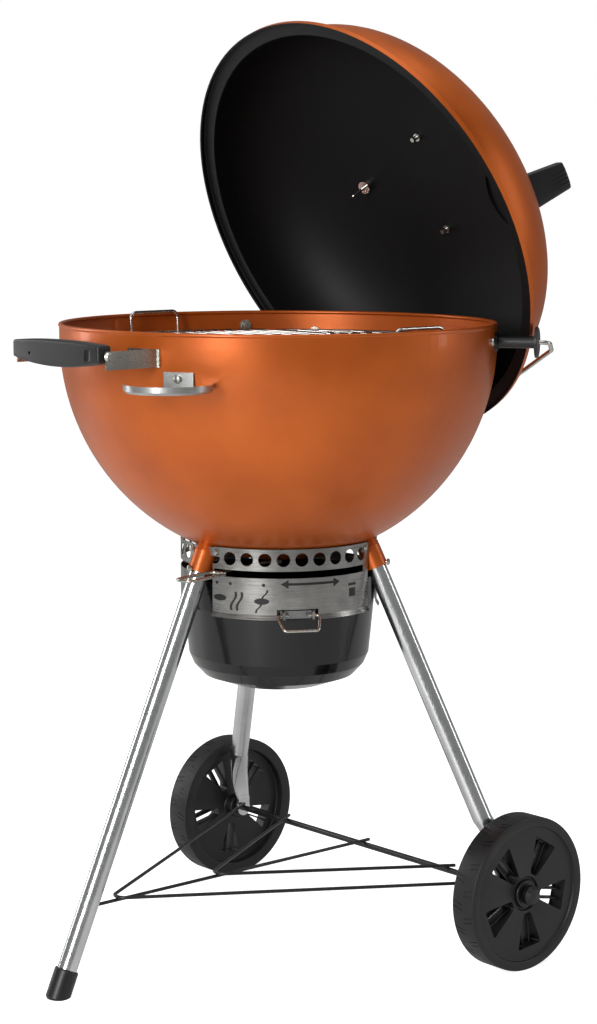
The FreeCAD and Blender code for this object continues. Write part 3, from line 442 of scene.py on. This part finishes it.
def makeHandleGrip():
    low, high = (Vector(v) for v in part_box("handle_grip"))
    middle = (low + high) / 2
    bpy.ops.mesh.primitive_cube_add(size=1)
    piece = bpy.context.object
    piece.scale = (2 * grip["half"], grip["deep"], grip["tallMiddle"])
    settle(piece)
    editMode()
    bpy.ops.mesh.select_all(action="SELECT")
    bpy.ops.mesh.subdivide(number_cuts=5)
    objectMode()
    for vertex in piece.data.vertices:                          # bellied below, nearly flat on top
        end = abs(vertex.co.x) / grip["half"]
        tall = grip["tallMiddle"] + (grip["tallEnd"] - grip["tallMiddle"]) * end ** 2.2
        top = vertex.co.z > 0
        vertex.co.z *= tall / grip["tallMiddle"]
        vertex.co.z += 0.0022 * end ** 2 * (1 if top else 1.4)
        vertex.co.y *= 1 - 0.16 * end ** 3
    applyModifier(piece, "BEVEL", width=grip["round"], segments=4, limit_method="ANGLE",
                  angle_limit=radians(50))
    applyModifier(piece, "SUBSURF", levels=2, render_levels=2)
    piece.location = middle
    settle(piece)
    bpy.ops.mesh.primitive_cube_add(size=1, location=(middle.x + grip["panelOut"], low.y, middle.z + 0.001))
    panel = bpy.context.object                                  # shallow blank recess near one end
    panel.scale = (0.0105, 0.006, 0.0135)
    settle(panel)
    applyModifier(panel, "BEVEL", width=0.001, segments=2)
    cutWith(piece, panel)
    holePlace = (middle.x + grip["holeOut"], low.y, middle.z - 0.0015)
    bpy.ops.mesh.primitive_cylinder_add(vertices=24, radius=grip["holeRadius"], depth=0.012, location=holePlace,
                                        rotation=(radians(90), 0, 0))
    hole = bpy.context.object
    settle(hole)
    applyModifier(hole, "BEVEL", width=0.0003, segments=1)
    cutWith(piece, hole)
    shadeAndPlace(piece, "bowlHandleGrip", "stand", "handle_grip")


makeHandleGrip()


tab = {                                            # the damper's grip, a ribbed wedge
    "near": 0.027, "far": 0.0475, "halfFoot": 0.0245, "halfTop": 0.0185, "tall": 0.062,
    "grooves": 6, "grooveDeep": 0.0044, "grooveWide": 0.0024, "outward": (0.241058, 0.887603, 0.392495),
}


def makeDamperGrip():
    rivetLow, rivetHigh = (Vector(v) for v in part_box("damper_rivet"))
    outward = Vector(tab["outward"]).normalized()
    low, high = (Vector(v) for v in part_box("damper_grip"))
    centre = (low + high) / 2
    foot = (rivetLow + rivetHigh) / 2
    reach = (centre - foot) - outward * (centre - foot).dot(outward)
    along = reach.normalized()
    across = outward.cross(along)
    base = centre - outward * (tab["tall"] / 2)
    bpy.ops.mesh.primitive_cube_add(size=1)
    piece = bpy.context.object
    editMode()
    bpy.ops.mesh.select_all(action="SELECT")
    bpy.ops.mesh.subdivide(number_cuts=3)
    objectMode()
    deep = tab["far"] - tab["near"]
    for vertex in piece.data.vertices:
        x, y, z = vertex.co
        up = z + 0.5
        half = tab["halfFoot"] + (tab["halfTop"] - tab["halfFoot"]) * up
        wide = deep * (0.72 + 0.28 * up) * (1 - 0.25 * abs(2 * y) ** 3)
        vertex.co = base + along * (x * wide) + across * (2 * y * half) + outward * (up * tab["tall"])
    editMode()
    bpy.ops.mesh.select_all(action="SELECT")
    bpy.ops.mesh.normals_make_consistent(inside=False)
    objectMode()
    applyModifier(piece, "BEVEL", width=0.0028, segments=3, limit_method="ANGLE", angle_limit=radians(40))
    for number in range(tab["grooves"]):                           # finger grooves across the outer face
        part = (number + 0.5) / tab["grooves"] * 2 - 1
        bpy.ops.mesh.primitive_cube_add(size=1)
        groove = bpy.context.object
        spot = base + along * (deep / 2 + 0.0005) + across * (part * tab["halfTop"] * 0.9)
        spot += outward * (tab["tall"] * 0.62)
        for vertex in groove.data.vertices:
            x, y, z = vertex.co
            vertex.co = spot + along * (x * tab["grooveDeep"]) + across * (y * tab["grooveWide"])
            vertex.co += outward * (z * tab["tall"] * 0.9)
        editMode()
        bpy.ops.mesh.select_all(action="SELECT")
        bpy.ops.mesh.normals_make_consistent(inside=False)
        objectMode()
        cutWith(piece, groove)
    shadeAndPlace(piece, "damperGripRibbed", "lid_damper", "damper_grip")


makeDamperGrip()


signs = {                                          # generic vent signs printed on the front ring plate
    "radius": 0.1295, "thick": 0.00018, "turn": -29.6, "row": 0.4825, "upper": 0.5035, "ink": "#0c0c0c",
    "dots": (-0.1095, -0.089, -0.044), "smoke": (-0.0845, -0.076), "bin": 0.081,
}
originShift = (Vector(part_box("vent_shaft")[0]) + Vector(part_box("vent_shaft")[1])) / 2


def wrapOnRing(piece):
    for vertex in piece.data.vertices:                          # x runs round the ring, z up, y outwards
        turn = radians(signs["turn"]) + vertex.co.x / signs["radius"]
        reach = signs["radius"] + 0.00005 - vertex.co.y
        vertex.co = (originShift.x + reach * cos(turn), originShift.y + reach * sin(turn), vertex.co.z)


def signBlank(wide, high, cuts):
    bpy.ops.mesh.primitive_cube_add(size=1)
    piece = bpy.context.object
    piece.scale = (wide, signs["thick"], high)
    settle(piece)
    editMode()
    bpy.ops.mesh.select_all(action="SELECT")
    bpy.ops.mesh.subdivide(number_cuts=cuts)
    objectMode()
    return piece


def signDot(x, z, wide, high):
    piece = signBlank(wide, high, 9)
    for vertex in piece.data.vertices:                          # the square is drawn in to an ellipse
        across, up = vertex.co.x / wide * 2, vertex.co.z / high * 2
        vertex.co.x *= (1 - up * up / 2) ** 0.5
        vertex.co.z *= (1 - across * across / 2) ** 0.5
    piece.location = (x, 0, z)
    settle(piece)
    return piece


def signBar(x, z, wide, high, slant=0.0, wave=0.0):
    piece = signBlank(wide, high, 11)
    for vertex in piece.data.vertices:
        vertex.co.x += slant * vertex.co.z + wave * sin(vertex.co.z / high * 2 * pi)
    piece.location = (x, 0, z)
    settle(piece)
    return piece


def signHead(x, z, size, side):
    bpy.ops.mesh.primitive_cylinder_add(vertices=3, radius=size, depth=signs["thick"])
    piece = bpy.context.object
    piece.rotation_euler = (radians(90), radians(-90) * side + radians(180), 0)
    settle(piece)
    piece.location = (x, 0, z)
    settle(piece)
    return piece


def makeSigns():
    row, upper = signs["row"], signs["upper"]
    marks = [signDot(x, upper, 0.0044, 0.0044) for x in signs["dots"]]
    marks.append(signDot(-0.105, row + 0.002, 0.020, 0.0085))           # food over the fire
    for x in signs["smoke"]:
        marks.append(signBar(x, row - 0.001, 0.0034, 0.024, 0.25, 0.0019))      # smoke
    marks.append(signDot(-0.0465, row, 0.0195, 0.0082))
    for x, z in ((-0.0425, row + 0.0085), (-0.0505, row - 0.0085)):
        marks.append(signBar(x, z, 0.0026, 0.013, 0.5, 0.0012))
    marks.append(signBar(0.0185, upper + 0.0012, 0.066, 0.0032))  # which way the lever sweeps
    marks.append(signHead(-0.0155, upper + 0.0012, 0.0066, -1))
    marks.append(signHead(0.0525, upper + 0.0012, 0.0066, 1))
    marks.append(signBar(signs["bin"], row + 0.006, 0.0115, 0.011))      # ash bin
    marks.append(signBar(signs["bin"], row + 0.0165, 0.0140, 0.0034))
    piece = joinAll(marks)
    wrapOnRing(piece)
    piece.name = "ventSigns"
    paint(piece, mouldedPlastic("screenPrintInk", signs["ink"], 0.5, 0.6, 0.00001))
    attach(piece, "stand")


makeSigns()
print("grip and signs made")


studio = {
    "floor": "#f1f1f0", "floorWide": 60.0, "floorGlow": 0.82, "sky": 0.27,
    "camera": (2.3648, -2.01454, 1.0018), "turn": (82.27, 0.0, 49.07), "lens": 83.71,
}


def makeFloor():
    bpy.ops.mesh.primitive_plane_add(size=studio["floorWide"])
    floor = bpy.context.object
    floor.name = "studioFloor"
    surface = {"Base Color": linearOf(studio["floor"]), "Roughness": 0.6}
    material, tree, shader = newMaterial("paintedStudioFloor", surface)
    addGrain(tree, shader, placeOf(tree), 300.0, 0.0001)
    shader.inputs["Emission Color"].default_value = (1, 1, 1, 1)
    seen = addNode(tree, "ShaderNodeLightPath")                  # a lit sweep: it glows to the eye only
    glow = addNode(tree, "ShaderNodeMath", {"operation": "MULTIPLY", 1: studio["floorGlow"]},
                   in0=seen.outputs[0])
    tree.links.new(glow.outputs[0], shader.inputs["Emission Strength"])
    paint(floor, material)


def addLight(name, place, aim, wide, high, watts):
    lamp = bpy.data.lights.new(name, "AREA")
    lamp.shape, lamp.size, lamp.size_y, lamp.energy = "RECTANGLE", wide, high, watts
    holder = bpy.data.objects.new(name, lamp)
    bpy.context.collection.objects.link(holder)
    holder.location = place
    holder.rotation_euler = (Vector(aim) - Vector(place)).to_track_quat("-Z", "Y").to_euler()


def makeSky():
    world = bpy.data.worlds.new("studioSky")
    bpy.context.scene.world = world
    world.use_nodes = True
    tree = world.node_tree
    back = tree.nodes["Background"]
    back.inputs[0].default_value = (1, 1, 1, 1)
    seen = addNode(tree, "ShaderNodeLightPath")
    level = addNode(tree, "ShaderNodeMapRange", {1: 0.0, 2: 1.0, 3: studio["sky"], 4: 1.0}, in0=seen.outputs[0])
    tree.links.new(level.outputs[0], back.inputs[1])


makeFloor()
makeSky()
addLight("keyBox", (1.15, -3.0, 1.55), (0, 0, 0.75), 0.7, 1.6, 74)
addLight("leftBox", (-2.6, -1.2, 1.4), (0, 0, 0.7), 0.5, 2.2, 22)
addLight("rightBox", (2.2, 2.6, 1.6), (0, 0, 0.7), 0.4, 2.2, 14)
addLight("topBox", (0.2, -0.2, 3.4), (0, 0, 0.4), 2.6, 2.6, 34)
lens = bpy.data.cameras.new("frontCamera")
lens.lens, lens.sensor_width = studio["lens"], 36.0
camera = bpy.data.objects.new("frontCamera", lens)
bpy.context.collection.objects.link(camera)
camera.location = studio["camera"]
camera.rotation_euler = [radians(a) for a in studio["turn"]]
bpy.context.scene.camera = camera
bpy.context.scene.view_settings.view_transform = "Standard"
print("studio ready")

bpy.context.view_layer.update()
